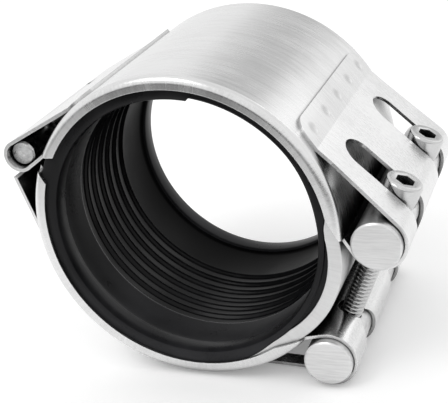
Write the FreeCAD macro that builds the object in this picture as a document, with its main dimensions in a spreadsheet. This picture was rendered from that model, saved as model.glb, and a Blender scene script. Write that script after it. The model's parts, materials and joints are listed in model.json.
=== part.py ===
"""Hinged stainless clamp with a rubber sleeve, closed round a pipe by two socket screws.

Two folded sheet shells meet at a hinge pin on one side and at two lock bars on the other.
The pipe axis is Y, the origin is on it at mid-length, and +Z is up as the clamp lies on its
lower lock strap. Lengths are in millimetres and angles in degrees.
In a section across the pipe, angles count from the middle of the lock gap towards the upper shell.
"""

import FreeCAD, Part
import Sketcher
import math
import os

from FreeCAD import Placement, Rotation, Vector

SIZES = {
    # Casing: each half is a channel of sheet, rolled round the pipe axis
    "casing_radius": 56.0,
    "casing_width": 90.0,
    "sheet_thickness": 1.2,
    "flange_depth": 4.5,
    "bend_radius": 2.5,
    # Lock side: the bars' reach from the casing, and where the sheet leaves it and comes back.
    # A strap is as wide as its loop there, and narrows over the flare to its own width
    "lock_reach": 11.0,
    "lock_half_angle": 21.8,
    "lock_wall_end": 22.8,
    "lock_bend_angle": 54.5,
    "lock_strap_end": 65.3,
    "lock_loop_inset": 3.0,
    "upper_strap_inset": 5.8,
    "upper_strap_flare": 28.0,
    "lower_strap_inset": 11.0,
    "lower_strap_flare": 8.0,
    "upper_lock_taper": 12.0,
    "lower_lock_taper": 17.5,
    # Hinge side, with angles from the line through the pin
    "hinge_reach": 8.9,
    "upper_wall_end": 6.0,
    "lower_wall_end": 1.0,
    "hinge_bend_angle": 27.0,
    "hinge_strap_end": 35.0,
    "hinge_strap_inset": 4.0,
    "upper_hinge_taper": 3.0,
    "lower_hinge_taper": 4.0,
    "knuckle_length": 40.0,
    "knuckle_gap": 0.5,
    "notch_margin": 2.9,
    "strap_corner": 7.0,
    # Pin and bars. A bar lies loose in its loop, and the screws pull it against one side
    "pin_radius": 4.6,
    "pin_inset": 7.0,
    "pin_fit": 0.06,
    "bar_radius": 8.5,
    "bar_inset": 0.0,
    "bar_slack": 0.25,
    "bar_fit": 0.15,
    "edge_chamfer": 0.6,
    # Screws
    "screw_radius": 4.0,
    "screw_length": 65.0,
    "screw_spacing": 42.0,
    "head_radius": 6.5,
    "head_height": 8.0,
    "socket_flats": 6.0,
    "socket_depth": 4.5,
    "seat_height": 6.4,
    "seat_margin": 0.5,
    "hole_margin": 0.5,
    "thread_fit": 0.05,
    # Slots in the lock loops
    "slot_margin": 0.55,
    "slot_reach": 28.2,
    "upper_slot_end": 40.0,
    "lower_slot_end": -26.0,
    "shaft_margin": 1.2,
    # Spot welds
    "weld_pitch": 16.0,
    "weld_angle": 59.6,
    "weld_radius": 2.4,
    "weld_depth": 0.25,
    # Bridge plate under the lock gap, and how far it stands out between the shells
    "plate_thickness": 1.0,
    "plate_bend_radius": 1.6,
    "plate_depth": 4.9,
    "plate_bulge": 1.8,
    "plate_upper_end": 34.0,
    "plate_lower_end": 47.0,
    "plate_fit": 0.15,
    # Sealing sleeve
    "sleeve_fit": 0.15,
    "sleeve_wall": 5.25,
    "lip_height": 2.0,
    "lip_width": 7.5,
    "lip_chamfer": 1.0,
    "rib_height": 1.35,
    "rib_width": 2.7,
    "rib_pitch": 6.0,
    "split_angle": 106.0,
    "split_gap": 0.4,
    "split_slant": 35.0,
}
WELD_COUNT = 5
RIB_COUNT = 7
OVERRUN = 1.0  # how far a cutting solid runs past what it cuts
SEAM = 8.0  # angle over which a fold and the casing share their sheet
SIDE_CUT_DEPTH = 2.0  # how far a cut beside a strap goes past both of its faces
PLATE_SEAM = 1.6  # angle over which the bridge plate's middle and sides share their sheet

doc = FreeCAD.newDocument("pipe_repair_clamp")
sheet = doc.addObject("Spreadsheet::Sheet", "sizes")
for row, (alias, value) in enumerate(SIZES.items(), 1):
    sheet.set(f"A{row}", alias)
    sheet.set(f"B{row}", str(value))
    sheet.setAlias(f"B{row}", alias)
doc.recompute()


def size(alias):
    return float(sheet.get(alias))


def bind(thing, **expressions):
    """Ties each named property to an expression."""
    for name, expression in expressions.items():
        thing.setExpression(name, expression)


# Points and turns in the section across the pipe axis
def across(length, angle):
    return Vector(length * math.cos(math.radians(angle)), 0, length * math.sin(math.radians(angle)))


def angle_of(point):
    return math.degrees(math.atan2(point.z, point.x))


def arc_cos(ratio):
    return math.degrees(math.acos(ratio))


def turn_to(angle):
    """The turn about the pipe axis that carries +X to this angle."""
    return Rotation(Vector(0, 1, 0), -angle)


def half_turn(x, y, z):
    return Placement(Vector(0, 0, 0), Rotation(Vector(x, y, z), 180))


def moved(point, rotation=Rotation()):
    return Placement(point, rotation)


ALONG_AXIS = Rotation(Vector(1, 0, 0), -90)  # carries +Z to +Y
# Folds are drawn on the upper lock side, and these carry them to their own quarter
QUARTER = {
    "upper_lock": Placement(),
    "lower_lock": half_turn(1, 0, 0),
    "upper_hinge": half_turn(0, 0, 1),
    "lower_hinge": half_turn(0, 1, 0),
}

thickness = size("sheet_thickness")
casing_radius = size("casing_radius")
wall_radius = casing_radius - thickness
flange_radius = casing_radius - size("flange_depth")
plate_radius = wall_radius - size("plate_fit")
plate_rim = plate_radius - size("plate_depth")
half_width = size("casing_width") / 2
lock_radius = casing_radius + size("lock_reach")
hinge_radius = casing_radius + size("hinge_reach")
bore_radius = wall_radius - size("sleeve_fit") - size("sleeve_wall")
lip_radius = bore_radius - size("lip_height")
lock_loop_half = half_width - size("lock_loop_inset")
hinge_strap_width = 2 * (half_width - size("hinge_strap_inset"))
bar_loop = size("bar_radius") + size("bar_slack")
pin_loop = size("pin_radius") + size("pin_fit")
upper_bar_centre = across(lock_radius, size("lock_half_angle"))
lower_bar_centre = across(lock_radius, -size("lock_half_angle"))
upper_loop_centre = upper_bar_centre + Vector(0, 0, size("bar_slack") - size("bar_fit"))
drawn_pin_centre = across(hinge_radius, 0)
slot_half_width = size("head_radius") + size("slot_margin")
screw_places = (-size("screw_spacing") / 2, size("screw_spacing") / 2)


def rest_turn():
    """How far the lock lies below +X, with the lower strap's end and its loop on the ground."""
    to_end = across(casing_radius + thickness, size("lock_strap_end")) - upper_loop_centre
    return 90 - angle_of(to_end) + arc_cos((bar_loop + thickness) / to_end.Length)


AS_LAID = moved(Vector(0, 0, 0), turn_to(-rest_turn()))


# Bodies, sketches and features
def new_body(name, place=Placement()):
    body = doc.addObject("PartDesign::Body", name)
    body.Label = name
    body.Placement = AS_LAID.multiply(place)
    return body


def new_sketch(body, name, role, offset=0.0):
    sketch = body.newObject("Sketcher::SketchObject", f"{body.Name}_{name}")
    plane = next(f for f in body.Origin.OriginFeatures if f.Role == role)
    sketch.AttachmentSupport = [(plane, "")]
    sketch.MapMode = "FlatFace"
    sketch.AttachmentOffset = moved(Vector(0, 0, offset))
    return sketch


def draw(sketch, edges):
    """Draws edges end to end, each 2 points for a line or 3 for an arc."""
    for edge in edges:
        points = [Vector(point[0], point[1], 0) for point in edge]
        sketch.addGeometry(Part.Arc(*points) if len(points) == 3 else Part.LineSegment(*points))


def polygon(points):
    return list(zip(points, points[1:] + points[:1]))


def draw_circle(sketch, radius, x=0.0, y=0.0):
    """Draws a circle whose radius follows an expression, and whose centre stays where it is put."""
    ring = sketch.addGeometry(Part.Circle(Vector(x, y, 0), Vector(0, 0, 1), 1.0))
    sketch.addConstraint(Sketcher.Constraint("DistanceX", -1, 1, ring, 3, x))
    sketch.addConstraint(Sketcher.Constraint("DistanceY", -1, 1, ring, 3, y))
    number = sketch.addConstraint(Sketcher.Constraint("Radius", ring, 1.0))
    sketch.setExpression(f"Constraints[{number}]", radius)


def add_feature(body, kind, sketch, **properties):
    feature = body.newObject(f"PartDesign::{kind}", f"{sketch.Name}_{kind.lower()}")
    feature.Profile = sketch
    for name, value in properties.items():
        setattr(feature, name, value)
    sketch.Visibility = False
    return feature


def pad(body, sketch, length):
    feature = add_feature(body, "Pad", sketch, SideType="Symmetric")
    bind(feature, Length=length)
    return feature


def revolve(body, sketch, angle):
    feature = add_feature(body, "Revolution", sketch, ReferenceAxis=(sketch, ["V_Axis"]))
    bind(feature, Angle=angle)
    return feature


def chamfer_ends(body, base, radius, margin):
    """Chamfers the round edges of this radius at both ends of a bar or pin."""
    doc.recompute()
    names = [
        f"Edge{number}"
        for number, edge in enumerate(base.Shape.Edges, 1)
        if edge.Curve.TypeId == "Part::GeomCircle" and abs(edge.Curve.Radius - radius) < margin
    ]
    feature = body.newObject("PartDesign::Chamfer", f"{body.Name}_chamfer")
    feature.Base = (base, names)
    bind(feature, Size="sizes.edge_chamfer")
    return feature


# Solids that cut
def cylinder(name, radius, height, place, angle=None):
    solid = doc.addObject("Part::Cylinder", name)
    bind(solid, Radius=radius, Height=height)
    if angle is not None:
        solid.Angle = angle
    solid.Placement = AS_LAID.multiply(place)
    return solid


def box(name, length, width, height, place):
    solid = doc.addObject("Part::Box", name)
    bind(solid, Length=length, Width=width, Height=height)
    solid.Placement = AS_LAID.multiply(place)
    return solid


def fuse(name, solids):
    joined = doc.addObject("Part::MultiFuse", name)
    joined.Shapes = solids
    joined.Refine = True
    return joined


def cut(name, base, tools):
    result = doc.addObject("Part::Cut", name)
    result.Base = base
    result.Tool = tools[0] if len(tools) == 1 else fuse(f"{name}_tools", tools)
    result.Refine = True
    return result


# The casing halves
def channel_outline(outer, wall, inner, half, bend):
    """Section of a channel that opens towards the axis, with x as the radius and y along the axis."""
    corner = outer - bend
    side = half - bend
    inner_bend = bend - wall
    slant = math.sqrt(0.5)
    return [
        ((inner, -half), (corner, -half)),
        ((corner, -half), (corner + bend * slant, -side - bend * slant), (outer, -side)),
        ((outer, -side), (outer, side)),
        ((outer, side), (corner + bend * slant, side + bend * slant), (corner, half)),
        ((corner, half), (inner, half)),
        ((inner, half), (inner, half - wall)),
        ((inner, half - wall), (corner, half - wall)),
        (
            (corner, half - wall),
            (corner + inner_bend * slant, side + inner_bend * slant),
            (outer - wall, side),
        ),
        ((outer - wall, side), (outer - wall, -side)),
        (
            (outer - wall, -side),
            (corner + inner_bend * slant, -side - inner_bend * slant),
            (corner, -half + wall),
        ),
        ((corner, -half + wall), (inner, -half + wall)),
        ((inner, -half + wall), (inner, -half)),
    ]


def taper_outline(end, taper, outwards):
    """Triangle that slants a flange's end back by an angle. outwards is the way past the end, 1 or -1."""
    past = OVERRUN * outwards
    corners = (
        across(wall_radius, end),
        across(flange_radius - OVERRUN, end - taper * outwards),
        across(flange_radius - OVERRUN, end + past),
        across(wall_radius, end + past),
    )
    return polygon([(corner.x, corner.z) for corner in corners])


def casing_half(name, first, span, span_expression, first_taper, last_taper):
    """A rolled channel from the angle first, through span towards smaller angles."""
    body = new_body(name, moved(Vector(0, 0, 0), turn_to(first)))
    section = new_sketch(body, "section", "XY_Plane")
    draw(
        section,
        channel_outline(casing_radius, thickness, flange_radius, half_width, size("bend_radius")),
    )
    revolve(body, section, span_expression)
    for end, taper, outwards in ((0.0, first_taper, 1), (-span, last_taper, -1)):
        corner = new_sketch(body, "taper", "XZ_Plane")
        draw(corner, taper_outline(end, taper, outwards))
        add_feature(body, "Pocket", corner, Type=1, SideType="Symmetric")
    return body


# The folded ends
def fold_lines(centre, loop_radius, wall_end, bend_angle):
    """Directions from the loop's centre to where the strap and the returning wall touch it."""
    to_bend = across(casing_radius + thickness, bend_angle) - centre
    to_wall = across(casing_radius, wall_end) - centre
    strap = angle_of(to_bend) - arc_cos((loop_radius + thickness) / to_bend.Length)
    wall = angle_of(to_wall) + arc_cos(loop_radius / to_wall.Length)
    return strap, wall % 360 - 360


def fold_skin(centre, loop, lines, strap_circle, wall_circle, strap_end, wall_end):
    """One face of the folded sheet, from the strap's end round the loop and back to the wall."""
    strap, wall = lines
    level = centre.dot(across(1, strap)) + loop
    bend = strap - arc_cos(level / strap_circle)
    depth = centre.dot(across(1, wall)) + loop
    leave = wall + arc_cos(depth / wall_circle)
    seam = wall_end + SEAM
    points = [
        (across(strap_circle, strap_end), across(strap_circle, (strap_end + bend) / 2)),
        (across(strap_circle, bend),),
        (centre + across(loop, strap), centre + across(loop, (strap + wall) / 2)),
        (centre + across(loop, wall),),
        (across(wall_circle, leave), across(wall_circle, (leave + seam) / 2)),
        (across(wall_circle, seam),),
    ]
    flat = [[(point.x, point.z) for point in group] for group in points]
    return [tuple(group) + (following[0],) for group, following in zip(flat, flat[1:])]


def fold_body(name, quarter, centre, loop_radius, wall_end, bend_angle, strap_end, strap_width):
    body = new_body(name, QUARTER[quarter])
    section = new_sketch(body, "section", "XZ_Plane")
    lines = fold_lines(centre, loop_radius, wall_end, bend_angle)
    outside = fold_skin(
        centre, loop_radius + thickness, lines, casing_radius + thickness, wall_radius, strap_end, wall_end
    )
    inside = fold_skin(centre, loop_radius, lines, casing_radius, casing_radius, strap_end, wall_end)
    back = [tuple(reversed(edge)) for edge in reversed(inside)]
    ends = [(outside[-1][-1], back[0][0]), (back[-1][-1], outside[0][0])]
    draw(section, outside + ends[:1] + back + ends[1:])
    pad(body, section, strap_width)
    return body


def strap_corner_tools(name, quarter, strap_end, strap_width):
    """Rounds both corners of a strap's end."""
    corner = size("strap_corner")
    on_strap = QUARTER[quarter].multiply(
        moved(across(casing_radius - OVERRUN, strap_end), turn_to(strap_end - 90))
    )
    tools = []
    for side in (-1, 1):
        edge = side * strap_width / 2
        low = edge if side < 0 else edge - corner
        block = box(
            f"{name}_block_{side + 1}",
            f"sizes.strap_corner + {OVERRUN}",
            f"sizes.strap_corner + {OVERRUN}",
            f"sizes.sheet_thickness + {2 * OVERRUN}",
            on_strap.multiply(moved(Vector(-OVERRUN, low - (OVERRUN if side < 0 else 0), 0))),
        )
        round_part = cylinder(
            f"{name}_round_{side + 1}",
            "sizes.strap_corner",
            f"sizes.sheet_thickness + {4 * OVERRUN}",
            on_strap.multiply(moved(Vector(corner, edge - side * corner, -OVERRUN))),
        )
        tools.append(cut(f"{name}_corner_{side + 1}", block, [round_part]))
    return tools


def slot_tools(name, quarter, place, end_angle):
    """One screw's slot: along the strap, over the outer side of the loop, and a hole for the shaft."""
    strap, _wall = fold_lines(
        upper_loop_centre, bar_loop, size("lock_wall_end"), size("lock_bend_angle")
    )
    at_loop = QUARTER[quarter].multiply(moved(upper_loop_centre + Vector(0, place, 0)))
    on_strap = at_loop.multiply(moved(Vector(0, 0, 0), turn_to(strap - 90)))
    floor = bar_loop - OVERRUN
    straight = size("slot_reach") - slot_half_width
    deep = f"sizes.sheet_thickness + {2 * OVERRUN}"
    half = "(sizes.head_radius + sizes.slot_margin)"
    loop_outside = "sizes.bar_radius + sizes.bar_slack + sizes.sheet_thickness"
    return [
        box(
            f"{name}_straight",
            f"sizes.slot_reach - {half}",
            f"2 * {half}",
            deep,
            on_strap.multiply(moved(Vector(-straight, -slot_half_width, floor))),
        ),
        cylinder(f"{name}_top", half, deep, on_strap.multiply(moved(Vector(-straight, 0, floor)))),
        cylinder(
            f"{name}_round_loop",
            f"{loop_outside} + {OVERRUN}",
            f"2 * {half}",
            at_loop.multiply(moved(Vector(0, -slot_half_width, 0), turn_to(strap).multiply(ALONG_AXIS))),
            angle=strap - end_angle,
        ),
        cylinder(
            f"{name}_end",
            half,
            f"{loop_outside} + {OVERRUN}",
            at_loop.multiply(moved(Vector(0, 0, 0), turn_to(end_angle - 90))),
        ),
        cylinder(
            f"{name}_shaft",
            "sizes.screw_radius + sizes.shaft_margin",
            f"{loop_outside} + {OVERRUN}",
            at_loop.multiply(moved(Vector(0, 0, 0), Rotation(Vector(1, 0, 0), 180))),
        ),
    ]


def weld_tools(name, quarter):
    """Shallow round dimples where the strap is spot welded to the casing."""
    depth = size("weld_depth")
    ball = (size("weld_radius") ** 2 + depth**2) / (2 * depth)
    tools = []
    for number in range(WELD_COUNT):
        along = (number - (WELD_COUNT - 1) / 2) * size("weld_pitch")
        centre = across(casing_radius + thickness - depth + ball, size("weld_angle"))
        dimple = doc.addObject("Part::Sphere", f"{name}_{number}")
        bind(dimple, Radius="(sizes.weld_radius ^ 2 + sizes.weld_depth ^ 2) / (2 * sizes.weld_depth)")
        dimple.Placement = AS_LAID.multiply(QUARTER[quarter]).multiply(
            moved(centre + Vector(0, along, 0))
        )
        tools.append(dimple)
    return tools


def strap_side_tools(name, on_strap, inset, flare):
    """Narrows the strap on both sides, from the loop's full width to its own over the flare."""
    slope = (lock_loop_half - half_width + inset) / flare
    tools = []
    for side in (-1, 1):
        body = new_body(f"{name}_side_{side + 1}")
        body.Placement = AS_LAID.multiply(on_strap).multiply(
            moved(Vector(0, 0, bar_loop + thickness / 2))
        )
        outline = new_sketch(body, "outline", "XY_Plane")
        edge = side * (half_width - inset)
        past = side * (half_width + OVERRUN)
        end = -casing_radius
        start = side * (lock_loop_half + slope * OVERRUN)
        corners = [(OVERRUN, start), (-flare, edge), (end, edge), (end, past), (OVERRUN, past)]
        draw(outline, polygon(corners))
        pad(body, outline, f"sizes.sheet_thickness + {2 * SIDE_CUT_DEPTH}")
        tools.append(body)
    return tools


def lock_fold(name, quarter, slot_end, inset, flare):
    fold = fold_body(
        name,
        quarter,
        upper_loop_centre,
        bar_loop,
        size("lock_wall_end"),
        size("lock_bend_angle"),
        size("lock_strap_end"),
        "sizes.casing_width - 2 * sizes.lock_loop_inset",
    )
    strap, _wall = fold_lines(
        upper_loop_centre, bar_loop, size("lock_wall_end"), size("lock_bend_angle")
    )
    on_strap = QUARTER[quarter].multiply(moved(upper_loop_centre, turn_to(strap - 90)))
    tools = strap_corner_tools(name, quarter, size("lock_strap_end"), 2 * (half_width - inset))
    tools += strap_side_tools(name, on_strap, inset, flare)
    tools += weld_tools(f"{name}_weld", quarter)
    for number, place in enumerate(screw_places):
        tools += slot_tools(f"{name}_slot_{number}", quarter, place, slot_end)
    return cut(f"{name}_cut", fold, tools)


def hinge_fold(name, quarter, wall_end, gaps):
    """A hinge strap and its knuckles. gaps are the stretches along the pin that are cut away."""
    fold = fold_body(
        name,
        quarter,
        drawn_pin_centre,
        pin_loop,
        wall_end,
        size("hinge_bend_angle"),
        size("hinge_strap_end"),
        "sizes.casing_width - 2 * sizes.hinge_strap_inset",
    )
    tools = strap_corner_tools(name, quarter, size("hinge_strap_end"), hinge_strap_width)
    for number, (start, length) in enumerate(gaps):
        tools.append(
            cylinder(
                f"{name}_gap_{number}",
                "sizes.pin_radius + sizes.pin_fit + sizes.sheet_thickness + sizes.notch_margin",
                length,
                QUARTER[quarter].multiply(moved(drawn_pin_centre + Vector(0, start, 0), ALONG_AXIS)),
            )
        )
    return cut(f"{name}_cut", fold, tools)


def shells():
    knuckle = size("knuckle_length") / 2
    middle = knuckle + size("knuckle_gap")
    strap_edge = hinge_strap_width / 2 + OVERRUN
    upper_casing = casing_half(
        "upper_casing",
        180 - size("upper_wall_end"),
        180 - size("upper_wall_end") - size("lock_wall_end"),
        "180 - sizes.upper_wall_end - sizes.lock_wall_end",
        size("upper_hinge_taper"),
        size("upper_lock_taper"),
    )
    lower_casing = casing_half(
        "lower_casing",
        -size("lock_wall_end"),
        180 - size("lower_wall_end") - size("lock_wall_end"),
        "180 - sizes.lower_wall_end - sizes.lock_wall_end",
        size("lower_lock_taper"),
        size("lower_hinge_taper"),
    )
    upper_gap = [(-middle, "sizes.knuckle_length + 2 * sizes.knuckle_gap")]
    side_length = f"(sizes.casing_width - sizes.knuckle_length) / 2 - sizes.hinge_strap_inset + {OVERRUN}"
    lower_gaps = [(knuckle, side_length), (-strap_edge, side_length)]
    upper = fuse(
        "upper_shell",
        [
            upper_casing,
            lock_fold(
                "upper_lock_fold",
                "upper_lock",
                size("upper_slot_end"),
                size("upper_strap_inset"),
                size("upper_strap_flare"),
            ),
            hinge_fold("upper_hinge_fold", "upper_hinge", size("upper_wall_end"), upper_gap),
        ],
    )
    lower = fuse(
        "lower_shell",
        [
            lower_casing,
            lock_fold(
                "lower_lock_fold",
                "lower_lock",
                size("lower_slot_end"),
                size("lower_strap_inset"),
                size("lower_strap_flare"),
            ),
            hinge_fold("lower_hinge_fold", "lower_hinge", size("lower_wall_end"), lower_gaps),
        ],
    )
    return [upper, lower]


# Pin, bars and screws
def hinge_pin():
    body = new_body("hinge_pin", moved(across(hinge_radius, 180)))
    section = new_sketch(body, "section", "XZ_Plane")
    draw_circle(section, "sizes.pin_radius")
    shaft = pad(body, section, "sizes.casing_width - 2 * sizes.pin_inset")
    chamfer_ends(body, shaft, size("pin_radius"), 0.01)
    return body


def lock_bar(name, centre, hole_radius, seated):
    """A round bar with two cross holes, and flat seats for the screw heads if seated."""
    body = new_body(name, moved(centre))
    section = new_sketch(body, "section", "XZ_Plane")
    draw_circle(section, "sizes.bar_radius")
    bar = pad(body, section, "sizes.casing_width - 2 * sizes.bar_inset")
    chamfer_ends(body, bar, size("bar_radius"), 0.01)
    holes = new_sketch(body, "holes", "XY_Plane")
    for place in screw_places:
        draw_circle(holes, hole_radius, y=place)
    add_feature(body, "Pocket", holes, Type=1, SideType="Symmetric")
    if seated:
        seats = new_sketch(body, "seats", "XY_Plane", size("seat_height"))
        for place in screw_places:
            draw_circle(seats, "sizes.head_radius + sizes.seat_margin", y=place)
        add_feature(body, "Pocket", seats, Type=1, Reversed=True)
    return body


def clamp_screw(name, place):
    """A socket head screw. Its own origin is at the seat of the head, with the head upwards."""
    seat = upper_bar_centre + Vector(0, place, size("seat_height"))
    body = new_body(name, moved(seat))
    head, height = size("head_radius"), size("head_height")
    shaft, length = size("screw_radius"), size("screw_length")
    chamfer = size("edge_chamfer")
    profile = new_sketch(body, "profile", "XZ_Plane")
    draw(
        profile,
        polygon(
            [
                (0, height),
                (head - chamfer, height),
                (head, height - chamfer),
                (head, 0),
                (shaft, 0),
                (shaft, chamfer - length),
                (shaft - chamfer, -length),
                (0, -length),
            ]
        ),
    )
    revolve(body, profile, "360")
    socket = new_sketch(body, "socket", "XY_Plane", height)
    corner = size("socket_flats") / math.sqrt(3)
    turns = [math.radians(60 * number) for number in range(6)]
    draw(socket, polygon([(corner * math.cos(turn), corner * math.sin(turn)) for turn in turns]))
    pocket = add_feature(body, "Pocket", socket)
    bind(pocket, Length="sizes.socket_depth")
    return body


# Bridge plate and sleeve
def plate_stretch(name, centre, radius, first, span_expression):
    """Part of the plate's channel, from the angle first towards smaller angles."""
    body = new_body(name, moved(Vector(centre, 0, 0), turn_to(first)))
    section = new_sketch(body, "section", "XY_Plane")
    draw(
        section,
        channel_outline(
            radius,
            size("plate_thickness"),
            radius - size("plate_depth"),
            half_width - thickness - size("plate_fit"),
            size("plate_bend_radius"),
        ),
    )
    revolve(body, section, span_expression)
    return body


def bridge_plate():
    """A channel that lies under both shells and stands out a little in the gap between them."""
    edge = size("lock_wall_end")
    chord = across(plate_radius, edge)
    top = plate_radius + size("plate_bulge")
    rise = top - chord.x
    middle_radius = (chord.z**2 + rise**2) / (2 * rise)
    middle_half = math.degrees(math.asin(chord.z / middle_radius)) + PLATE_SEAM / 3
    upper_span = f"sizes.plate_upper_end - sizes.lock_wall_end + {PLATE_SEAM}"
    lower_span = f"sizes.plate_lower_end - sizes.lock_wall_end + {PLATE_SEAM}"
    return fuse(
        "bridge_plate",
        [
            plate_stretch(
                "plate_middle", top - middle_radius, middle_radius, middle_half, f"{2 * middle_half}"
            ),
            plate_stretch("plate_upper_side", 0, plate_radius, size("plate_upper_end"), upper_span),
            plate_stretch("plate_lower_side", 0, plate_radius, PLATE_SEAM - edge, lower_span),
        ],
    )


def sleeve_outline():
    """Half section of the sleeve: a lip at each end and ribs between, with y along the axis."""
    outer = wall_radius - size("sleeve_fit")
    half = half_width - thickness - size("sleeve_fit")
    bore, lip = bore_radius, lip_radius
    chamfer = size("lip_chamfer")
    shoulder = half - size("lip_width")
    corner = size("bend_radius") - thickness
    edges = [
        ((outer, corner - half), (outer, half - corner)),
        ((outer, half - corner), (outer - corner, half)),
        ((outer - corner, half), (lip + chamfer, half)),
        ((lip + chamfer, half), (lip, half - chamfer)),
        ((lip, half - chamfer), (lip, shoulder)),
        ((lip, shoulder), (bore, shoulder - chamfer)),
    ]
    place = (bore, shoulder - chamfer)
    for number in range(RIB_COUNT):
        middle = ((RIB_COUNT - 1) / 2 - number) * size("rib_pitch")
        start = (bore, middle + size("rib_width") / 2)
        end = (bore, middle - size("rib_width") / 2)
        edges += [(place, start), (start, (bore - size("rib_height"), middle), end)]
        place = end
    edges += [
        (place, (bore, chamfer - shoulder)),
        ((bore, chamfer - shoulder), (lip, -shoulder)),
        ((lip, -shoulder), (lip, chamfer - half)),
        ((lip, chamfer - half), (lip + chamfer, -half)),
        ((lip + chamfer, -half), (outer - corner, -half)),
        ((outer - corner, -half), (outer, corner - half)),
    ]
    return edges


def plate_recess_outline():
    """What the bridge plate takes out of the sleeve's back and sides."""
    fit = size("sleeve_fit")
    outer = wall_radius + OVERRUN
    side = half_width
    back = wall_radius - size("plate_fit") - size("plate_thickness") - fit
    face = half_width - thickness - size("plate_fit") - size("plate_thickness") - fit
    rim = plate_rim - fit
    corner = size("plate_bend_radius") - size("plate_thickness")
    return polygon(
        [
            (outer, -side),
            (outer, side),
            (rim, side),
            (rim, face),
            (back - corner, face),
            (back, face - corner),
            (back, corner - face),
            (back - corner, -face),
            (rim, -face),
            (rim, -side),
        ]
    )


def sealing_sleeve():
    """A ring of rubber with a slanted split, and a recess for the bridge plate."""
    past_plate = size("plate_upper_end") + OVERRUN
    body = new_body("whole_sleeve", moved(Vector(0, 0, 0), turn_to(past_plate)))
    section = new_sketch(body, "section", "XY_Plane")
    draw(section, sleeve_outline())
    revolve(body, section, "360")
    recess = new_sketch(body, "recess", "XY_Plane")
    draw(recess, plate_recess_outline())
    groove = add_feature(body, "Groove", recess, ReferenceAxis=(recess, ["V_Axis"]))
    bind(groove, Angle=f"sizes.plate_upper_end + sizes.plate_lower_end + {2 * OVERRUN}")
    middle = (wall_radius + lip_radius) / 2
    split = box(
        "sleeve_split",
        "sizes.sheet_thickness + sizes.sleeve_fit + sizes.sleeve_wall + sizes.lip_height + 4",
        "sizes.casing_width",
        "sizes.split_gap",
        moved(
            across(middle, size("split_angle")),
            turn_to(size("split_angle") + size("split_slant")),
        ).multiply(moved(Vector(-(casing_radius - lip_radius + 4) / 2, -half_width, 0))),
    )
    return cut("sealing_sleeve", body, [split])


nodes = shells()
nodes += [
    hinge_pin(),
    lock_bar("upper_lock_bar", upper_bar_centre, "sizes.screw_radius + sizes.hole_margin", True),
    lock_bar("lower_lock_bar", lower_bar_centre, "sizes.screw_radius + sizes.thread_fit", False),
    clamp_screw("front_clamp_screw", screw_places[0]),
    clamp_screw("rear_clamp_screw", screw_places[1]),
    bridge_plate(),
    sealing_sleeve(),
]
doc.recompute()

for thing in doc.Objects:
    if "Invalid" in thing.State or "Error" in thing.State:
        raise RuntimeError(f"{thing.Label} failed: {thing.State}")
for node in nodes:
    if node.Shape.isNull() or not node.Shape.isValid() or len(node.Shape.Solids) != 1:
        raise RuntimeError(f"{node.Label} is not one valid solid")

os.makedirs("parts", exist_ok=True)
for node in nodes:
    node.Shape.exportStep(f"parts/{node.Label}.step")
    print(node.Label, round(node.Shape.Volume), "mm3")
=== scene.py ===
"""Looks of the pipe repair clamp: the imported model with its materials, rubber, plate and screws.

The pipe axis is Y and the lock is towards +X. In a section across the pipe, angles count
from the middle of the lock gap towards the upper shell. Sizes and outlines of the pieces
are in millimetres and become metres where their points are placed. Lengths in the looks
and places of the lamps and the camera are in metres.
"""

import bmesh
import bpy
import json
import math

from mathutils import Matrix, Vector


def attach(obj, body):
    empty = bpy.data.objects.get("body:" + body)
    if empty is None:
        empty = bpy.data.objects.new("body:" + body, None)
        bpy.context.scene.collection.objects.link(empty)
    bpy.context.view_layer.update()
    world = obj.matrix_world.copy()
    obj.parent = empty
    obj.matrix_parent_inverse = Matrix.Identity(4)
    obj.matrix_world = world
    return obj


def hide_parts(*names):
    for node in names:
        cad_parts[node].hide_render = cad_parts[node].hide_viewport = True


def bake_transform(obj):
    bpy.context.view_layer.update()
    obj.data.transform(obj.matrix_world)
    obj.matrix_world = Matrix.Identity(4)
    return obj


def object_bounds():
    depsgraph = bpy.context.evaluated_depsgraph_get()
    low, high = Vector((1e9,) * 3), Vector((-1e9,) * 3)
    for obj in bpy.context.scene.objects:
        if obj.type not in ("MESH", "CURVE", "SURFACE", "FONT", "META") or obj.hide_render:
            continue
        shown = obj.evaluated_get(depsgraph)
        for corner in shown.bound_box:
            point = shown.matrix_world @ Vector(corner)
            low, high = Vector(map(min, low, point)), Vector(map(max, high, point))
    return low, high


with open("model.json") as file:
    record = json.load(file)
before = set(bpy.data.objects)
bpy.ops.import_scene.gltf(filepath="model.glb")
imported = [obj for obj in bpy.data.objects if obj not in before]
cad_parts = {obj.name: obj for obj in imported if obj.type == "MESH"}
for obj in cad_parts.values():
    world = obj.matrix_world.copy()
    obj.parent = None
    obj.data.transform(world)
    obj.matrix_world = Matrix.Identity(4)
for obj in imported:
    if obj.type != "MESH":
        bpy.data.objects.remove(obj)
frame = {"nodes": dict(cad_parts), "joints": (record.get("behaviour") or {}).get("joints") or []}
cad_box = [list(corner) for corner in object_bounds()]
joints = {joint["name"]: joint for joint in frame["joints"]}
MM = 0.001

# Sizes in millimetres and degrees. The split and the ribs' places follow the photograph,
# and the other main sizes are as in the source.
CASING_RADIUS, CASING_WIDTH, SHEET = 56.0, 90.0, 1.2
FIT = 0.15
WALL_RADIUS = CASING_RADIUS - SHEET
HALF_WIDTH = CASING_WIDTH / 2 - SHEET - FIT

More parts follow.
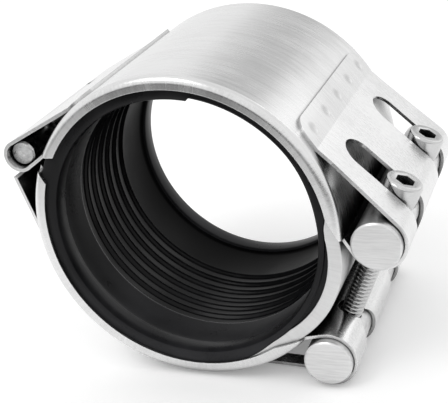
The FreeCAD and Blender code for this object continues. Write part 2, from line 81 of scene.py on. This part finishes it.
# Rubber
SLEEVE_WALL, LIP_HEIGHT, LIP_WIDTH = 5.25, 2.0, 7.5
BORE = WALL_RADIUS - FIT - SLEEVE_WALL
LIP = BORE - LIP_HEIGHT
SHOULDER = HALF_WIDTH - LIP_WIDTH
RIB_HEIGHT, RIB_WIDTH, RIB_ROUNDNESS, RIB_STEPS = 1.35, 2.7, 1.2, 12
RIB_FOOT = RIB_WIDTH * 0.75  # from a rib's middle to where its soft side ends
RIB_PITCH, RIB_COUNT, RIB_SHIFT = 6.3, 7, -3.8
RIB_MIDDLES = [((RIB_COUNT - 1) / 2 - number) * RIB_PITCH + RIB_SHIFT for number in range(RIB_COUNT)]
SPLIT_ANGLE, SPLIT_SLANT, SPLIT_GAP = 101.0, 35.0, 0.25
SLANT_STARTS, SLANT_FULL = 18.0, 6.0
LIP_LIFT, LIFT_STARTS, LIFT_FULL = 1.15, 28.0, 62.0
RECESS_MARGIN, RECESS_STEP = 0.25, 0.05
BACK_ROUNDING, BACK_CUT = 1.3, 0.39
SLEEVE_STEPS = 240

# Bridge plate
PLATE_RADIUS = WALL_RADIUS - FIT
PLATE_THICKNESS, PLATE_DEPTH, PLATE_BULGE = 1.0, 4.9, 1.8
PLATE_UPPER_END, PLATE_LOWER_END, LOCK_EDGE = 34.0, -47.0, 22.8
UPPER_RUN_OUT, LOWER_RUN_OUT, RUN_OUT_LOSS = 8.0, 16.0, 1.8
PLATE_ROUNDING, PLATE_CORNER_STEPS, PLATE_STEPS = 0.45, 3, 72

# Screws. The thread's start is a height from the seat, and its crest and flank are shares of
# half a pitch.
HEAD_RADIUS, HEAD_HEIGHT, HEAD_CHAMFER, SEAT_HEIGHT = 6.5, 8.0, 0.7, 6.4
SOCKET_FLATS, SOCKET_DEPTH = 6.0, 4.5
SCREW_RADIUS, SCREW_LENGTH, SCREW_SIDES = 4.0, 65.0, 48
THREAD_PITCH, THREAD_DEPTH, THREAD_CREST, THREAD_FLANK = 1.6, 0.85, 0.14, 0.7
THREAD_START, RINGS_PER_PITCH, LEAD_IN_RINGS = -8.0, 8, 6
TIP_LENGTH, TIP_CHAMFER = 1.2, 0.35

# Spot welds on the upper lock strap, which lies on the casing there
STRAP_RADIUS = CASING_RADIUS + SHEET
WELD_ANGLE, WELD_PITCH, WELD_COUNT = 59.6, 16.0, 5

screw_down = Vector(joints["front_screw_turn"]["axis"])
LOCK_TURN = 90 - math.degrees(math.atan2(-screw_down.z, -screw_down.x))


def across(radius, angle, along=0.0):
    """A point of the section, in metres, from millimetres and an angle counted at the lock."""
    turned = math.radians(angle - LOCK_TURN)
    return Vector((radius * math.cos(turned), along, radius * math.sin(turned))) * MM


def smooth(value, start, end):
    """Rises softly from 0 at the start to 1 at the end."""
    part = min(1.0, max(0.0, (value - start) / (end - start)))
    return part * part * (3 - 2 * part)


# Meshes
CORNER_ROOM = 2.2  # a side's length over the longest rounding at one of its ends


def new_piece(name, build, sharp=40.0):
    """An object with a built mesh, smooth up to the sharp angle in degrees."""
    mesh = bpy.data.meshes.new(name)
    work = bmesh.new()
    build(work)
    bmesh.ops.recalc_face_normals(work, faces=work.faces)
    work.to_mesh(mesh)
    work.free()
    for face in mesh.polygons:
        face.use_smooth = True
    mesh.set_sharp_from_angle(angle=math.radians(sharp))
    piece = bpy.data.objects.new(name, mesh)
    bpy.context.scene.collection.objects.link(piece)
    return piece


def skin_rings(work, rings):
    """Joins closed rings of points that all have the same count, and caps the first and last."""
    rows = [[work.verts.new(point) for point in ring] for ring in rings]
    count = len(rows[0])
    for low, high in zip(rows, rows[1:]):
        for index in range(count):
            after = (index + 1) % count
            work.faces.new((low[index], low[after], high[after], high[index]))
    work.faces.new(rows[0])
    work.faces.new(list(reversed(rows[-1])))


def rounded(points, radius, steps):
    """An outline with each corner rounded, by less than half of its shorter side."""
    result = []
    count = len(points)
    for index in range(count):
        before = Vector(points[index - 1])
        here = Vector(points[index])
        after = Vector(points[(index + 1) % count])
        shorter = min((before - here).length, (after - here).length)
        reach = min(radius, shorter / CORNER_ROOM)
        first = here + (before - here).normalized() * reach
        last = here + (after - here).normalized() * reach
        for step in range(steps + 1):
            part = step / steps
            bend = first * (1 - part) ** 2 + here * 2 * part * (1 - part) + last * part**2
            result.append((bend.x, bend.y))
    return result


# Rubber sleeve. Its outlines hold the radius first and the place along the pipe second.
def rib_points(middle):
    """A low round rib."""
    points = []
    for step in range(RIB_STEPS + 1):
        part = -1 + 2 * step / RIB_STEPS
        rise = RIB_HEIGHT * (0.5 + 0.5 * math.cos(math.pi * part)) ** RIB_ROUNDNESS
        points.append((BORE - rise, middle - part * RIB_FOOT))
    return points


def last_rib_points(middle):
    """The rib nearest the front, with a crisp edge and a long slope towards the lip.

    Its profile holds places along the pipe from the rib's middle, each with the rise there.
    """
    profile = [
        (1.9, 0.0), (1.4, 0.15), (0.9, 0.6), (0.5, 1.1), (0.25, 1.3), (0.05, 1.38), (-0.2, 1.38),
        (-0.8, 1.3), (-3, 1.05), (-5.5, 0.75), (-8, 0.4), (-10, 0.12), (-11, 0.03),
    ]
    return [(BORE - rise, middle + along) for along, rise in profile]


def sleeve_section(recessed, depth=PLATE_DEPTH):
    """The section of the rubber, with the bore side the same with and without the plate's recess."""
    back = PLATE_RADIUS - PLATE_THICKNESS - FIT if recessed else WALL_RADIUS - FIT
    face = HALF_WIDTH - PLATE_THICKNESS - FIT if recessed else HALF_WIDTH
    rim = PLATE_RADIUS - depth - FIT
    far_end = [
        (back, 0),
        (back, face - BACK_ROUNDING),
        (back - BACK_CUT, face - BACK_CUT),
        (back - BACK_ROUNDING, face),
        (rim, face),
        (rim - 0.05, HALF_WIDTH),
    ]
    far_lip = [
        (LIP + 1.2, HALF_WIDTH),
        (LIP + 0.35, HALF_WIDTH - 0.3),
        (LIP, HALF_WIDTH - 1.1),
        (LIP, SHOULDER + 1.0),
        (LIP + 0.3, SHOULDER + 0.3),
        (LIP + 0.9, SHOULDER - 0.2),
        (BORE - 0.4, SHOULDER - 0.9),
        (BORE, SHOULDER - 1.8),
    ]
    ribs = [point for middle in RIB_MIDDLES[:-1] for point in rib_points(middle)]
    ribs += last_rib_points(RIB_MIDDLES[-1])
    far_side = far_end + far_lip
    near_side = [(radius, -along) for radius, along in reversed(far_side[1:])]
    return far_side + ribs + near_side


def lip_lift(angle):
    """How far the near lip is drawn back between the lock and the split, which ends it in a tooth."""
    if angle > SPLIT_ANGLE or angle < 0:
        return 0.0
    return LIP_LIFT * smooth(angle, LIFT_STARTS, LIFT_FULL)


def build_sleeve(work):
    """The rubber ring, from one side of its slanted split round to the other.

    Extra rings stand close on both sides of each end of the plate's recess.
    """
    recess_starts, recess_ends = PLATE_LOWER_END - RECESS_MARGIN, PLATE_UPPER_END + RECESS_MARGIN
    plain = sleeve_section(False)
    middle = (WALL_RADIUS + LIP) / 2
    gap = math.degrees(SPLIT_GAP / middle) / 2
    turns = [(360 - 2 * gap) * step / SLEEVE_STEPS for step in range(SLEEVE_STEPS + 1)]
    for end in (recess_starts, recess_ends):
        for nudge in (-RECESS_STEP, RECESS_STEP):
            turns.append((end + nudge - SPLIT_ANGLE - gap) % 360)
    rings = []
    for turn in sorted(turns):
        angle = SPLIT_ANGLE + gap + turn
        from_lock = (angle + 180) % 360 - 180
        section = plain
        if recess_starts < from_lock < recess_ends:
            section = sleeve_section(True, plate_depth(from_lock))
        slanted = smooth(min(turn, 360 - turn), SLANT_STARTS, SLANT_FULL)
        slope = slanted * math.tan(math.radians(SPLIT_SLANT))
        ring = []
        for radius, along in section:
            shear = math.degrees((radius - middle) * slope / radius)
            if along < 0 and radius < BORE:
                radius += lip_lift(from_lock)
            ring.append(across(radius, angle - shear, along))
        rings.append(ring)
    skin_rings(work, rings)


# Bridge plate
def plate_rise(angle):
    """How far the plate stands out past its own radius at an angle, between the shells' edges."""
    turned = math.radians(angle)
    edge_x = PLATE_RADIUS * math.cos(math.radians(LOCK_EDGE))
    edge_z = PLATE_RADIUS * math.sin(math.radians(LOCK_EDGE))
    top = PLATE_RADIUS + PLATE_BULGE
    radius = (edge_z**2 + (top - edge_x) ** 2) / (2 * (top - edge_x))
    centre = top - radius
    bulged = centre * math.cos(turned) + math.sqrt(radius**2 - (centre * math.sin(turned)) ** 2)
    return max(0.0, bulged - PLATE_RADIUS)


def plate_depth(angle):
    """The depth of the plate's sides, which run out towards its ends."""
    lower = smooth(angle, PLATE_LOWER_END, PLATE_LOWER_END + LOWER_RUN_OUT)
    upper = smooth(-angle, -PLATE_UPPER_END, UPPER_RUN_OUT - PLATE_UPPER_END)
    return PLATE_DEPTH - RUN_OUT_LOSS * (1 - min(lower, upper))


def build_plate(work):
    """A channel, swept from its lower end to its upper one."""
    outer, inner = PLATE_RADIUS, PLATE_RADIUS - PLATE_THICKNESS
    side, wall = HALF_WIDTH, HALF_WIDTH - PLATE_THICKNESS
    rings = []
    for step in range(PLATE_STEPS + 1):
        angle = PLATE_LOWER_END + (PLATE_UPPER_END - PLATE_LOWER_END) * step / PLATE_STEPS
        rise = plate_rise(angle)
        rim = outer - plate_depth(angle)
        outline = [
            (rim, -side), (outer, -side), (outer, side), (rim, side),
            (rim, wall), (inner, wall), (inner, -wall), (rim, -wall),
        ]
        section = rounded(outline, PLATE_ROUNDING, PLATE_CORNER_STEPS)
        rings.append([across(radius + rise, angle, along) for radius, along in section])
    skin_rings(work, rings)


# Screws
def ring_at(radius_at, height):
    """A ring of points round Z, with its radius as a function of the turn."""
    turns = [2 * math.pi * side / SCREW_SIDES for side in range(SCREW_SIDES)]
    return [(radius_at(turn) * math.cos(turn), radius_at(turn) * math.sin(turn), height) for turn in turns]


def circle_at(radius, height):
    return ring_at(lambda turn: radius, height)


def hexagon_at(flats, height):
    return ring_at(lambda turn: flats / 2 / math.cos(turn % (math.pi / 3) - math.pi / 6), height)


def thread_at(height, share):
    """The shaft at a height below the seat, with a share of its right-hand thread cut."""
    fade = min(1.0, max(0.0, (SCREW_LENGTH + height) / TIP_LENGTH))
    chamfer = TIP_CHAMFER * (1 - fade)

    def radius_at(turn):
        phase = (height / THREAD_PITCH - turn / (2 * math.pi)) % 1.0
        groove = min(1.0, max(0.0, (abs(phase - 0.5) * 2 - THREAD_CREST) / THREAD_FLANK))
        return SCREW_RADIUS - (THREAD_DEPTH * groove + chamfer) * share

    return ring_at(radius_at, height)


def build_screw(work):
    """A socket head screw along Z, with its seat at zero, from the socket's floor to the tip."""
    top, bottom = HEAD_HEIGHT, HEAD_HEIGHT - SOCKET_DEPTH
    socket = [
        circle_at(0.05, bottom - 0.9),
        hexagon_at(SOCKET_FLATS - 0.6, bottom - 0.05),
        hexagon_at(SOCKET_FLATS, bottom + 0.1),
        hexagon_at(SOCKET_FLATS, top - 0.5),
        hexagon_at(SOCKET_FLATS + 0.15, top - 0.15),
        circle_at(SOCKET_FLATS / 2 + 0.75, top - 0.02),
    ]
    head = [
        circle_at(HEAD_RADIUS - HEAD_CHAMFER - 0.3, top),
        circle_at(HEAD_RADIUS - HEAD_CHAMFER, top - 0.06),
        circle_at(HEAD_RADIUS - 0.3, top - 0.32),
        circle_at(HEAD_RADIUS - 0.06, top - HEAD_CHAMFER),
        circle_at(HEAD_RADIUS, top - HEAD_CHAMFER - 0.3),
        circle_at(HEAD_RADIUS, 0.3),
        circle_at(HEAD_RADIUS - 0.08, 0.08),
        circle_at(HEAD_RADIUS - 0.3, 0),
    ]
    neck = [
        circle_at(SCREW_RADIUS + 0.3, 0),
        circle_at(SCREW_RADIUS, -0.3),
        circle_at(SCREW_RADIUS, THREAD_START + 0.6),
    ]
    step = THREAD_PITCH / RINGS_PER_PITCH
    rows = int((SCREW_LENGTH + THREAD_START) / step)
    thread = [
        thread_at(THREAD_START - row * step, min(1.0, row / LEAD_IN_RINGS))
        for row in range(rows + 1)
    ]
    tip = [circle_at(SCREW_RADIUS - THREAD_DEPTH - 0.1, -SCREW_LENGTH)]
    rings = socket + head + neck + thread + tip
    skin_rings(work, [[Vector(point) * MM for point in ring] for ring in rings])


# Nodes
def grey(level):
    return (level, level, level, 1)


def cool(level):
    """A dark tone with a little more blue in it."""
    return (level, level, level * 1.1, 1)


def add_node(tree, kind, inputs=None, **settings):
    """A node with its settings, and with each named or counted input linked or set."""
    node = tree.nodes.new(kind)
    for name, value in settings.items():
        setattr(node, name, value)
    for name, value in (inputs or {}).items():
        if isinstance(value, bpy.types.NodeSocket):
            tree.links.new(value, node.inputs[name])
        else:
            node.inputs[name].default_value = value
    return node


def calculate(tree, operation, *values):
    return add_node(tree, "ShaderNodeMath", dict(enumerate(values)), operation=operation).outputs[0]


def measure(tree, operation, *vectors):
    """A vector operation that gives one number."""
    node = add_node(tree, "ShaderNodeVectorMath", dict(enumerate(vectors)), operation=operation)
    return node.outputs["Value"]


def separate(tree, vector):
    return add_node(tree, "ShaderNodeSeparateXYZ", {0: vector}).outputs


def combine(tree, **parts):
    return add_node(tree, "ShaderNodeCombineXYZ", parts).outputs[0]


def noise(tree, source, scale, detail, rough, stretch=(1, 1, 1)):
    place = add_node(tree, "ShaderNodeMapping", {"Vector": source, "Scale": stretch}).outputs["Vector"]
    inputs = {"Vector": place, "Scale": scale, "Detail": detail, "Roughness": rough}
    return add_node(tree, "ShaderNodeTexNoise", inputs).outputs["Fac"]


def ramp_to(tree, source, low, high, at_low=0.3, at_high=0.7):
    """Low where the source is at_low or less, high where it is at_high or more."""
    inputs = {"Value": source, "From Min": at_low, "From Max": at_high, "To Min": low, "To Max": high}
    return add_node(tree, "ShaderNodeMapRange", inputs).outputs["Result"]


def mix(tree, factor, low, high, way="MIX"):
    """The low colour at factor 0 and the high one at 1."""
    inputs = {0: factor, 6: low, 7: high}
    return add_node(tree, "ShaderNodeMix", inputs, data_type="RGBA", blend_type=way).outputs[2]


def multiply(tree, colour, factor):
    return mix(tree, 1.0, colour, factor, "MULTIPLY")


def bump(tree, shader, height, strength, distance, edge=0.0):
    """Raises the surface by the height, and softens its edges where an edge radius is given."""
    inputs = {"Height": height, "Strength": strength, "Distance": distance}
    if edge:
        inputs["Normal"] = add_node(tree, "ShaderNodeBevel", {"Radius": edge}, samples=6).outputs["Normal"]
    raised = add_node(tree, "ShaderNodeBump", inputs)
    tree.links.new(raised.outputs["Normal"], shader.inputs["Normal"])


# Materials. A stretch is given for each axis, and a small one draws the grain out along it.
FINE_DETAIL, FINE_ROUGH = 3.0, 0.6
EVEN, ROUND_PIPE, OVER_FLANGE = (1, 1, 1), (0.05, 1, 1), (1, 1, 0.06)
ALONG_BAR_ENDS, ALONG_RUBBER = (0.08, 1, 1), (1, 0.15, 1)
FLANGE_STARTS, FLANGE_FULL = 0.6, 0.8
STREAK_DARK, STREAK_LIGHT = 0.35, 0.6
STEEL_CLOUDS, STEEL_EDGE, STEEL_RELIEF = 38.0, 0.00025, 0.00004
STEEL_SHINIER, STEEL_DULLER = 0.06, 0.08
# Painted shade: the steel's colour goes dark grey where nearby surfaces close round it, in crevices,
# slots, thread grooves and between parts.
CREVICE_REACH, CREVICE_SHADE_GREY, CREVICE_SHUT, CREVICE_OPEN = 0.012, 0.05, 0.15, 0.75
WELD_GREY, WELD_TINT, WELD_FADE = 0.78, 0.0012, 0.003
RUBBER_GRAIN, RUBBER_CLOUDS, RUBBER_RELIEF = 1800.0, 60.0, 0.00006
RUBBER_STRENGTH, RUBBER_DULLER = 0.35, 0.14
# Heights in metres over which the rubber is made lighter towards the bottom, as painted light.
PAINTED_LIGHT_FULL, PAINTED_LIGHT_ENDS = -0.055, -0.015


def material(name, colour, metal, rough):
    made = bpy.data.materials.new(name)
    made.use_nodes = True
    shader = made.node_tree.nodes["Principled BSDF"]
    shader.inputs["Base Color"].default_value = colour
    shader.inputs["Metallic"].default_value = metal
    shader.inputs["Roughness"].default_value = rough
    return made, made.node_tree, shader


def brushed(tree, coordinates, grain):
    """Brush lines that run round the pipe on its walls and outwards on its flanges."""
    place = separate(tree, coordinates["Object"])
    turn = calculate(tree, "ARCTAN2", place["Z"], place["X"])
    arc = calculate(tree, "MULTIPLY", turn, WALL_RADIUS * MM)
    outwards = measure(tree, "LENGTH", combine(tree, X=place["X"], Z=place["Z"]))
    rolled = combine(tree, X=arc, Y=place["Y"], Z=outwards)
    round_pipe = noise(tree, rolled, grain, FINE_DETAIL, FINE_ROUGH, ROUND_PIPE)
    on_flange = noise(tree, rolled, grain, FINE_DETAIL, FINE_ROUGH, OVER_FLANGE)
    sideways = calculate(tree, "ABSOLUTE", separate(tree, coordinates["Normal"])["Y"])
    flange = ramp_to(tree, sideways, 0, 1, FLANGE_STARTS, FLANGE_FULL)
    return add_node(tree, "ShaderNodeMix", {0: flange, 2: round_pipe, 3: on_flange}).outputs[0]


def steel(
    name, dark, light, rough, grain, stretch=None, relief=0.12, edge=STEEL_EDGE, streaks=0.08, spots=()
):
    """Satin steel: brush lines, slow cloudy changes of shine, softened edges, and painted shade that
    darkens its crevices.

    The brush lines follow the pipe, or are one stretched noise where a stretch is given.
    The spots are the middles of welds, which are a little darker.
    """
    made, tree, shader = material(name, grey(light), 1.0, rough)
    coordinates = add_node(tree, "ShaderNodeTexCoord").outputs
    place = coordinates["Object"]
    if stretch is None:
        fine = brushed(tree, coordinates, grain)
    else:
        fine = noise(tree, place, grain, FINE_DETAIL, FINE_ROUGH, stretch)
    slow = noise(tree, place, STEEL_CLOUDS, 3.0, 0.5)
    colour = mix(tree, ramp_to(tree, slow, 0, 1), grey(dark), grey(light))
    colour = multiply(tree, colour, ramp_to(tree, fine, 1 - streaks, 1, STREAK_DARK, STREAK_LIGHT))
    # Painted shade in crevices, slots, grooves and between parts, from an occlusion test.
    crevice = add_node(tree, "ShaderNodeAmbientOcclusion", {"Distance": CREVICE_REACH}, samples=8)
    openness = ramp_to(tree, crevice.outputs["AO"], 0, 1, CREVICE_SHUT, CREVICE_OPEN)
    colour = mix(tree, openness, grey(CREVICE_SHADE_GREY), colour)
    for spot in spots:
        away = measure(tree, "DISTANCE", place, tuple(spot))
        colour = multiply(tree, colour, ramp_to(tree, away, WELD_GREY, 1, WELD_TINT, WELD_FADE))
    tree.links.new(colour, shader.inputs["Base Color"])
    worn = calculate(tree, "MULTIPLY_ADD", fine, 0.5, slow)
    roughness = ramp_to(tree, worn, rough - STEEL_SHINIER, rough + STEEL_DULLER, 0.5, 1.0)
    tree.links.new(roughness, shader.inputs["Roughness"])
    bump(tree, shader, fine, relief, STEEL_RELIEF, edge)
    return made


def rubber(name, dark, light, gloss, rough, low_painted_light=1.0):
    """Moulded rubber with a fine matt grain, made lighter low down as painted light where a factor is
    given.
    """
    made, tree, shader = material(name, cool(light), 0.0, rough)
    place = add_node(tree, "ShaderNodeTexCoord").outputs["Object"]
    fine = noise(tree, place, RUBBER_GRAIN, FINE_DETAIL, FINE_ROUGH, ALONG_RUBBER)
    slow = noise(tree, place, RUBBER_CLOUDS, 4.0, 0.6)
    colour = mix(tree, ramp_to(tree, slow, 0, 1), cool(dark), cool(light))
    height = separate(tree, place)["Z"]
    # Painted light: lighter towards the bottom, where the sleeve's lower inside faces up to the light.
    colour = multiply(tree, colour, ramp_to(tree, height, low_painted_light, 1, PAINTED_LIGHT_FULL, PAINTED_LIGHT_ENDS))
    tree.links.new(colour, shader.inputs["Base Color"])
    tree.links.new(ramp_to(tree, slow, rough, rough + RUBBER_DULLER), shader.inputs["Roughness"])
    shader.inputs["Specular IOR Level"].default_value = gloss
    bump(tree, shader, fine, RUBBER_STRENGTH, RUBBER_RELIEF)
    return made


welds = [
    across(STRAP_RADIUS, WELD_ANGLE, (number - (WELD_COUNT - 1) / 2) * WELD_PITCH)
    for number in range(WELD_COUNT)
]
casing_steel = steel("casing_steel", 0.72, 0.81, 0.25, 1100.0, spots=welds)
plate_steel = steel("plate_steel", 0.63, 0.71, 0.32, 1100.0)
bar_steel = steel("bar_steel", 0.68, 0.77, 0.34, 1200.0, ALONG_BAR_ENDS, relief=0.3, streaks=0.14)
pin_steel = steel("pin_steel", 0.76, 0.93, 0.26, 420.0, EVEN, relief=0.9, streaks=0.35)
screw_steel = steel("screw_steel", 0.55, 0.66, 0.22, 2200.0, EVEN, relief=0.08, edge=0.0)
black_rubber = rubber("black_rubber", 0.004, 0.009, gloss=0.16, rough=0.24, low_painted_light=3.4)
# Painted shade: darker copies of the same rubber for the ribs and, darker and duller still, for the bore
# behind them under the far lip.
shaded_deep_rubber = rubber("shaded_deep_rubber", 0.0015, 0.0035, gloss=0.05, rough=0.3)
shaded_rib_rubber = rubber("shaded_rib_rubber", 0.002, 0.0045, gloss=0.13, rough=0.14, low_painted_light=3.0)
# Painted highlight: a lighter copy of the rubber along the front rib's crisp crest.
highlight_edge_rubber = rubber("highlight_edge_rubber", 0.025, 0.05, gloss=0.5, rough=0.18)


def dress(name, look):
    """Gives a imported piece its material."""
    node = frame["nodes"][name]
    node.data.materials.clear()
    node.data.materials.append(look)


for name in ("upper_shell", "lower_shell"):
    dress(name, casing_steel)
for name in ("upper_lock_bar", "lower_lock_bar"):
    dress(name, bar_steel)
dress("hinge_pin", pin_steel)

# Rubber sleeve and bridge plate
BEHIND_RIBS, ON_RIBS, FRONT_EDGE = 1, 2, 3
BORE_DEPTH, EDGE_BEHIND, EDGE_BEFORE, EDGE_RISE = 0.5, 0.6, 0.4, 1.0
far_rib, near_rib = RIB_MIDDLES[0], RIB_MIDDLES[-1]
sleeve = new_piece("rubber_sleeve", build_sleeve, 35.0)
for look in (black_rubber, shaded_deep_rubber, shaded_rib_rubber, highlight_edge_rubber):
    sleeve.data.materials.append(look)
for face in sleeve.data.polygons:
    radius, along = math.hypot(face.center.x, face.center.z) / MM, face.center.y / MM
    if radius > BORE + BORE_DEPTH or abs(along) > SHOULDER:
        continue
    # Painted shade in the bore behind the ribs and on the ribs.
    if along > far_rib + RIB_FOOT:
        face.material_index = BEHIND_RIBS
    elif along > near_rib + EDGE_BEHIND:
        face.material_index = ON_RIBS
    # Painted highlight along the front rib's crest.
    elif along > near_rib - EDGE_BEFORE and radius < BORE - EDGE_RISE:
        face.material_index = FRONT_EDGE
plate = new_piece("gap_plate", build_plate)
plate.data.materials.append(plate_steel)
for piece, node, slot in ((sleeve, "sealing_sleeve", "rubber"), (plate, "bridge_plate", "plate")):
    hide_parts(node)
    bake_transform(piece)

# Clamp screws, each with its seat on the upper bar
for side in ("front", "rear"):
    joint = joints[f"{side}_screw_turn"]
    upwards = -Vector(joint["axis"])
    seat = Vector(joint["pos_m"]) + upwards * SEAT_HEIGHT * MM
    screw = new_piece(f"{side}_screw", build_screw, 45.0)
    screw.data.transform(Matrix.Translation(seat) @ upwards.to_track_quat("Z", "Y").to_matrix().to_4x4())
    screw.data.materials.append(screw_steel)
    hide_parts(f"{side}_clamp_screw")
    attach(screw, f"{side}_screw")

# Floor, which glows a little for camera and mirror rays. Mirror rays find it dark and without
# the glow well ahead of the clamp.
FLOOR_REACH, FLOOR_GREY, FLOOR_ROUGH, FLOOR_SHINE, FLOOR_GLOW = 3.0, 0.9, 0.8, 0.1, 0.22
DARK_GREY, DARK_STARTS, DARK_FULL = 0.08, -0.14, -0.36


def build_floor(work):
    bmesh.ops.create_grid(work, x_segments=1, y_segments=1, size=FLOOR_REACH)


floor = new_piece("floor", build_floor)
floor.location.z = cad_box[0][2]
floor_look, tree, shader = material("pale_floor", grey(FLOOR_GREY), 0.0, FLOOR_ROUGH)
shader.inputs["Specular IOR Level"].default_value = FLOOR_SHINE
shader.inputs["Emission Color"].default_value = grey(1)
path = add_node(tree, "ShaderNodeLightPath").outputs
seen = calculate(tree, "MAXIMUM", path["Is Camera Ray"], path["Is Glossy Ray"])
place = separate(tree, add_node(tree, "ShaderNodeTexCoord").outputs["Object"])
ahead = ramp_to(tree, place["Y"], 1, 0, DARK_FULL, DARK_STARTS)
mirrored = calculate(tree, "MULTIPLY", ahead, path["Is Glossy Ray"])
floor_colour = mix(tree, mirrored, grey(FLOOR_GREY), grey(DARK_GREY))
tree.links.new(floor_colour, shader.inputs["Base Color"])
glow = calculate(tree, "MULTIPLY", seen, ramp_to(tree, mirrored, FLOOR_GLOW, 0, 0, 1))
tree.links.new(glow, shader.inputs["Emission Strength"])
floor.data.materials.append(floor_look)

# White world, a little weaker for diffuse light, with a soft darker patch that only the camera misses
DIFFUSE_LEVEL = 0.93
PATCH_DIRECTION, PATCH_LEVEL, PATCH_EDGE, PATCH_CORE = (0.02, 0.91, 0.42), 0.6, 0.945, 0.998
world = bpy.data.worlds.new("studio")
bpy.context.scene.world = world
world.use_nodes = True
tree = world.node_tree
sky = tree.nodes["Background"]
path = add_node(tree, "ShaderNodeLightPath").outputs
seen = calculate(tree, "MAXIMUM", path["Is Camera Ray"], path["Is Glossy Ray"])
sharp = calculate(tree, "MAXIMUM", seen, path["Is Transmission Ray"])
level = ramp_to(tree, sharp, DIFFUSE_LEVEL, 1.0, 0, 1)
direction = add_node(tree, "ShaderNodeTexCoord").outputs["Generated"]
toward = measure(tree, "DOT_PRODUCT", direction, tuple(Vector(PATCH_DIRECTION).normalized()))
shaded = ramp_to(tree, toward, 1.0, PATCH_LEVEL, PATCH_EDGE, PATCH_CORE)
patch = calculate(tree, "MAXIMUM", path["Is Camera Ray"], shaded)
sky.inputs["Color"].default_value = grey(1)
tree.links.new(calculate(tree, "MULTIPLY", level, patch), sky.inputs["Strength"])


def lamp(name, place, width, power):
    """A round soft lamp, aimed at the middle of the clamp."""
    light = bpy.data.lights.new(name, "AREA")
    light.shape = "DISK"
    light.size = width
    light.energy = power
    made = bpy.data.objects.new(name, light)
    made.location = place
    made.rotation_euler = (-Vector(place)).to_track_quat("-Z", "Y").to_euler()
    bpy.context.scene.collection.objects.link(made)


lamp("front", (-0.35, -0.55, 0.85), width=0.5, power=1.7)
lamp("back", (0.5, 0.85, 0.55), width=0.5, power=0.3)

# The photograph's view: its own upright is turned about the pipe axis from the part's
PHOTO_TILT, AZIMUTH, ELEVATION = math.radians(16.0), math.radians(19.2), math.radians(26.35)
TARGET, DISTANCE = Vector((0.000486, -0.002, -0.007709)), 0.41484
FOCAL_LENGTH, SENSOR_WIDTH = 88.89, 36.0
view_turn = Matrix.Rotation(math.radians(LOCK_TURN) - PHOTO_TILT, 4, "Y")
back = Vector((
    math.sin(AZIMUTH) * math.cos(ELEVATION),
    -math.cos(AZIMUTH) * math.cos(ELEVATION),
    math.sin(ELEVATION),
))
lens = bpy.data.cameras.new("camera")
lens.lens = FOCAL_LENGTH
lens.sensor_width = SENSOR_WIDTH
lens.dof.use_dof = False
camera = bpy.data.objects.new("camera", lens)
bpy.context.scene.collection.objects.link(camera)
facing = back.to_track_quat("Z", "Y").to_matrix().to_4x4()
camera.matrix_world = view_turn @ Matrix.Translation(TARGET + back * DISTANCE) @ facing
bpy.context.scene.camera = camera
bpy.context.scene.view_settings.view_transform = "Standard"
